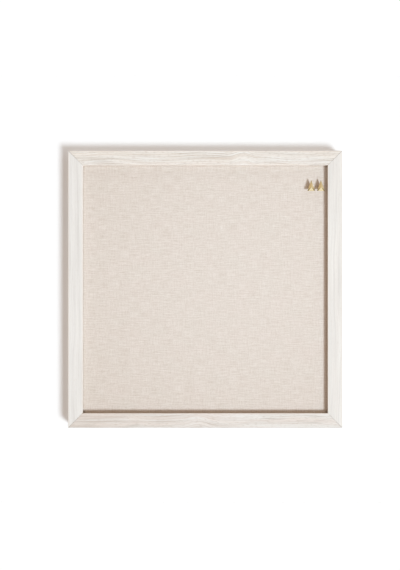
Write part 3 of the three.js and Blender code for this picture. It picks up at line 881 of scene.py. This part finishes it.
def screw_surface(low, high):
    """A pan-head wood screw along Y. The head's top is a flattened dome, sunk by a cross recess whose two
    arms are smooth steps in width and length. The shank's radius carries a thread: the third power of a
    cosine that turns once round the shank for every pitch along it."""
    centre = (low + high) / 2
    top = high[1]
    base = top - SCREW_HEAD_HEIGHT
    head_radius = (high[0] - low[0]) / 2
    radius = head_radius * np.sin(np.linspace(0, QUARTER_TURN, 28))
    bulge = 1 - (radius / head_radius) ** SCREW_DOME_POWER
    dome = base + SCREW_HEAD_HEIGHT * bulge ** (1 / SCREW_DOME_POWER)
    shank = np.linspace(base, low[1], 90)
    shank_radius = SCREW_RADIUS * np.clip((shank - low[1]) / SCREW_TIP, 0, 1)
    profile = np.concatenate([stacked(radius, dome), stacked(shank_radius, shank)])
    rings = turned(profile, centre, ROUND_SEGMENTS)

    x = np.abs(rings[..., 0] - centre[0])
    z = np.abs(rings[..., 2] - centre[2])
    soft = 0.12 * MM
    arms = [
        smooth_step(-wide, -DRIVE_WIDTH / 2 - soft, -DRIVE_WIDTH / 2 + soft)
        * smooth_step(-long, -DRIVE_LENGTH / 2 - 2 * soft, -DRIVE_LENGTH / 2 + 4 * soft)
        for wide, long in ((x, z), (z, x))
    ]
    on_head = (np.arange(len(profile)) < len(radius) - 1)[:, None]
    rings[..., 1] -= on_head * DRIVE_DEPTH * np.maximum(*arms)

    angle = np.arctan2(rings[..., 2] - centre[2], rings[..., 0] - centre[0])
    crest = np.clip(np.cos(angle - FULL_TURN * rings[..., 1] / SCREW_PITCH), 0, 1) ** 3
    fade = smooth_step(base - rings[..., 1], 1 * MM, 3 * MM) * smooth_step(rings[..., 1] - low[1], 0, 1 * MM)
    out = (~on_head) * SCREW_THREAD * crest * fade
    rings[..., 0] += out * np.cos(angle)
    rings[..., 2] += out * np.sin(angle)
    return rings


pivots = {joint["child"]: joint["pos_m"] for joint in frame["joints"] if joint["type"] == "hinge"}
for hand in ("left", "right"):
    pivot = pivots[f"{hand}_ring"]
    strap_low, strap_high = corners_of(f"hanger_strap_{hand}")
    strap = strap_surface(pivot, (strap_high[0] - strap_low[0]) / 2)
    add_piece(f"strap_{hand}_steel", skin(strap), STEEL, "board", [f"hanger_strap_{hand}"])
    ring = skin(ring_surface(pivot), capped=False, looped=True)
    add_piece(f"ring_{hand}_steel", ring, STEEL, f"{hand}_ring", [f"d_ring_{hand}"])
    for place in ("upper", "lower"):
        solid = f"hanger_screw_{hand}_{place}"
        screw = screw_surface(*corners_of(solid))
        add_piece(f"{solid}_steel", skin(screw, capped=False), STEEL, "board", [solid])


def bumper_surface(low, high):
    """A round rubber foot: a flat face with a shallow dish, a round edge and slightly sloping sides."""
    radius = (high[0] - low[0]) / 2
    corners = [
        (0, high[1] - BUMPER_DISH, 0),
        (radius * 0.45, high[1] - BUMPER_DISH, 1.5 * MM),
        (radius * 0.62, high[1], 0.6 * MM),
        (radius * 0.94, high[1], BUMPER_EDGE),
        (radius, low[1], 0.2 * MM),
        (0, low[1], 0),
    ]
    return turned(rounded_path(corners, closed=False), (low + high) / 2, ROUND_SEGMENTS)


for hand in ("left", "right"):
    solid = f"bumper_{hand}"
    bumper = skin(bumper_surface(*corners_of(solid)), capped=False)
    add_piece(f"{solid}_rubber", bumper, RUBBER, "board", [solid])


# The pins


def pin_head_surface(low, high, axis):
    """A three-sided head on a narrow foot. Round the axis, its reach is the triangle's half over the
    largest cosine of the angle to the three sides, taken as a high power sum, which rounds the corners a
    little. Along the axis that reach is scaled by a profile: foot, straight flare, band, and facets that
    close to a point."""
    sector = (1 - np.cos(np.linspace(0, HALF_TURN, 20, endpoint=False))) / 2
    angle = np.concatenate([math.radians(90 + 120 * side) + sector * FULL_TURN / 3 for side in range(3)])
    sides = np.radians([150, 270, 30])
    cosines = np.clip(np.cos(angle[:, None] - sides), 0, None)
    reach = 0.5 / (cosines ** PIN_CORNER_POWER).sum(axis=1) ** (1 / PIN_CORNER_POWER)
    # A painted dark reflection lies by the corners, where two sides are about as near, and half as strong by
    # the top one
    ranked = np.sort(cosines, axis=1)
    near_ridge = np.clip((ranked[:, 1] / ranked[:, 2] - 0.5) / 0.4, 0, 1)
    near_ridge[np.sin(angle) > 0.5] *= 0.5

    foot = high[1]
    band = foot - PIN_STEM
    corners = [
        (0, foot, 0),
        (PIN_FOOT_SHARE * PIN_MEAN_RADIUS, foot, PIN_ROUNDING),
        (PIN_MEAN_RADIUS, band, PIN_ROUNDING),
        (PIN_MEAN_RADIUS, band - PIN_BAND, PIN_ROUNDING),
        (PIN_TIP_SHARE * PIN_MEAN_RADIUS, low[1] + 0.1 * MM, PIN_ROUNDING),
        (0, low[1] + 0.05 * MM, 0),
    ]
    profile = rounded_path(corners, closed=False)
    length = lengths_along(profile)
    wanted = np.unique(np.concatenate([length, np.linspace(0, length[-1], 40)]))
    scale, level = at_lengths(profile, wanted).T
    unit_width = (high[0] - low[0]) / math.sqrt(3)
    unit_height = (high[2] - low[2]) / 1.5
    x = axis[0] + np.outer(scale / PIN_MEAN_RADIUS, reach * np.cos(angle)) * unit_width
    z = axis[2] + np.outer(scale / PIN_MEAN_RADIUS, reach * np.sin(angle)) * unit_height
    level = level[:, None]
    ridge = np.where(level < band, near_ridge, 0)
    return stacked(x, level, z), ridge.ravel()


def needle_surface(low, high):
    """A drawn steel needle: a straight shank that narrows to its point in a slow curve."""
    radius = (high[0] - low[0]) / 2
    share = np.linspace(0, 1, 16)
    tip = stacked(radius * np.sin(share * QUARTER_TURN) ** 0.9, high[1] - NEEDLE_TIP * share)
    profile = np.concatenate([tip, [(radius, low[1]), (0, low[1])]])
    return turned(profile, (low + high) / 2, ROUND_SEGMENTS // 2)


for hand, axis in pin_places.items():
    solid = f"pin_head_{hand}"
    head, ridge = pin_head_surface(*corners_of(solid), axis)
    head = skin(head, capped=False)
    add_piece(f"{solid}_brass", head, BRASS, f"{hand}_pin", [solid], {"ridge": ridge}, crease=60)
    solid = f"pin_needle_{hand}"
    needle = skin(needle_surface(*corners_of(solid)), capped=False)
    add_piece(f"{solid}_steel", needle, STEEL, f"{hand}_pin", [solid])


# CAD pieces that keep their shape
for solid, piece in frame["nodes"].items():
    kept = CORK if solid == "cork_core" else STEEL if solid.startswith("v_nail") else None
    if kept:
        piece.data.materials.clear()
        piece.data.materials.append(kept)


# The wall, the light and the camera

scene = bpy.context.scene
scene.view_settings.view_transform = "Standard"

AMBIENT = np.array((0.45, 0.37, 0.31))  # the room's even light, as a share of white
KEY_SHARE = 1 - AMBIENT
KEY_TO_LIGHT = np.array((0.47, -0.775, -0.405))
KEY_SPREAD = 17  # degrees that the key light is wide
REAR_TO_LIGHT = np.array((0.1, 0.95, 0.245))
REAR_SPREAD = 30
SHEEN_RISE = (0.5, 0.8, 1.4)  # how much brighter and cooler than white the room is towards the key light
SURROUND = (1.05, 1.05, 1.05, 1.0)  # seen past the board, a little over white so that it stays pure
WALL_HALF = 0.36
WALL_PAINT = (0.907, 0.889, 0.877)
WALL_GLOW = (0.108, 0.124, 0.135)
CEILING_PAINT = (0.787, 0.772, 0.762)  # painted light: above the board the wall has less paint and more glow, so its shadow there is lighter
CEILING_GLOW = (0.221, 0.236, 0.246)
CEILING_START = HALF_HEIGHT - 15 * MM  # the paint changes from here
CEILING_END = HALF_HEIGHT + 5 * MM
WALL_HOLE = 215 * MM  # half the opening in the wall behind the board
WALL_GAP = 0.3 * MM  # between the bumpers and the wall
WALL_STRIP = 8 * MM
WALL_TURN = math.radians(1.5)


def add_sun(name, to_light, spread):
    """A far lamp that, with the room's light, makes a white face parallel to the wall just white. Its
    mirror image is left to the room."""
    lamp = bpy.data.lights.new(name, "SUN")
    lamp.energy = KEY_SHARE.max() * math.pi * np.linalg.norm(to_light) / abs(to_light[1])
    lamp.color = KEY_SHARE / KEY_SHARE.max()
    lamp.angle = math.radians(spread)
    holder = bpy.data.objects.new(name, lamp)
    holder.rotation_euler = Vector(to_light.tolist()).to_track_quat("Z", "Y").to_euler()
    holder.visible_glossy = False
    scene.collection.objects.link(holder)


add_sun("key", KEY_TO_LIGHT, KEY_SPREAD)
add_sun("rear", REAR_TO_LIGHT, REAR_SPREAD)

# The room is white to look at, brighter towards the key light in reflections, and gives a warm even light
world = bpy.data.worlds.new("studio")
world.use_nodes = True
scene.world = world
add = partial(node, world.node_tree)
rays = add("LightPath")
towards = add("TexCoord")["Generated"]
facing = add("VectorMath", {0: towards, 1: KEY_TO_LIGHT.tolist()}, operation="DOT_PRODUCT")["Value"]
facing = add("Math", {0: facing, 1: 0.0}, operation="MAXIMUM")[0]
sheen = {0: facing, 1: SHEEN_RISE, 2: (1.0, 1.0, 1.0)}
sheen = add("VectorMath", sheen, operation="MULTIPLY_ADD")["Vector"]
ambient = (*AMBIENT.tolist(), 1.0)
shiny = add("MixRGB", {0: rays["Is Glossy Ray"], 1: ambient, 2: sheen})[0]
seen = {0: rays["Is Camera Ray"], 1: rays["Is Transmission Ray"]}
seen = add("Math", seen, operation="MAXIMUM")[0]
shade = add("MixRGB", {0: seen, 1: shiny, 2: SURROUND})[0]
set_inputs(world.node_tree.nodes["Background"], {"Color": shade})


def wall_surface():
    """Upright strips side by side, each turned a little to the left, so that from the right, where the wall
    is seen along its face, only the strips' backs show. There is no wall behind the board, where a strip of
    shade would show from the side."""
    left = np.arange(-WALL_HALF, WALL_HALF, WALL_STRIP)
    right = left + WALL_STRIP
    far = WALL_GAP + WALL_STRIP * math.tan(WALL_TURN)
    start = np.where(np.abs(left + WALL_STRIP / 2) < WALL_HOLE, WALL_HOLE, 0)
    points = []
    for low, high in ((-WALL_HALF, -start), (start, WALL_HALF)):
        corners = [(left, far, low), (right, WALL_GAP, low), (right, WALL_GAP, high), (left, far, high)]
        points.append(np.stack([stacked(*corner) for corner in corners], axis=1))
    points = np.concatenate(points).reshape(-1, 3)
    return points, np.arange(len(points)).reshape(-1, 4)


wall_points, wall_faces = wall_surface()
wall_mesh = bpy.data.meshes.new("wall")
wall_mesh.from_pydata(wall_points.tolist(), [], wall_faces.tolist())
wall = bpy.data.objects.new("wall", wall_mesh)
scene.collection.objects.link(wall)

# The wall takes the shadow and shows only from its front. Other rays pass it, so that the back is lit too.
# A little glow keeps its shadow as light as a white room does.
paint, add, unused_shader = new_material("white_wall_paint", {})
paint.node_tree.nodes.remove(unused_shader)
place = add("TexCoord")["Object"]
height = add("SeparateXYZ", {"Vector": place})["Z"]
# Painted light above the board: the wall's paint and glow change with height
above = add("MapRange", {"Value": height, "From Min": CEILING_START, "From Max": CEILING_END})["Result"]
matt, glow = (
    add("MixRGB", {0: above, 1: (*below, 1.0), 2: (*higher, 1.0)})[0]
    for below, higher in ((WALL_PAINT, CEILING_PAINT), (WALL_GLOW, CEILING_GLOW))
)
outward = add("CombineXYZ", {"Y": -1.0})["Vector"]
matt = add("BsdfDiffuse", {"Color": matt, "Normal": outward})["BSDF"]
glow = add("Emission", {"Color": glow})["Emission"]
matt = add("AddShader", {0: matt, 1: glow})["Shader"]
clear = add("BsdfTransparent")["BSDF"]
rear = add("NewGeometry")["Backfacing"]
front = add("Math", {0: 1.0, 1: rear}, operation="SUBTRACT")[0]
shown = add("LightPath")["Is Camera Ray"]
shown = add("Math", {0: shown, 1: front}, operation="MULTIPLY")[0]
surface = add("MixShader", {0: shown, 1: clear, 2: matt})["Shader"]
set_inputs(paint.node_tree.nodes["Material Output"], {"Surface": surface})
wall_mesh.materials.append(paint)

PIXEL_SIZE = 2 * HALF_HEIGHT / BOARD_HEIGHT_PX
lens = bpy.data.cameras.new("camera")
lens.sensor_width = SENSOR
lens.lens = SENSOR * CAMERA_DISTANCE / (PIXEL_SIZE * PICTURE_HEIGHT)
camera = bpy.data.objects.new("camera", lens)
camera.location = (
    (PICTURE_WIDTH / 2 - BOARD_CENTRE_PX[0]) * PIXEL_SIZE,
    FRONT - CAMERA_DISTANCE,
    (BOARD_CENTRE_PX[1] - PICTURE_HEIGHT / 2) * PIXEL_SIZE,
)
camera.rotation_euler = (QUARTER_TURN, 0, 0)
scene.collection.objects.link(camera)
scene.camera = camera
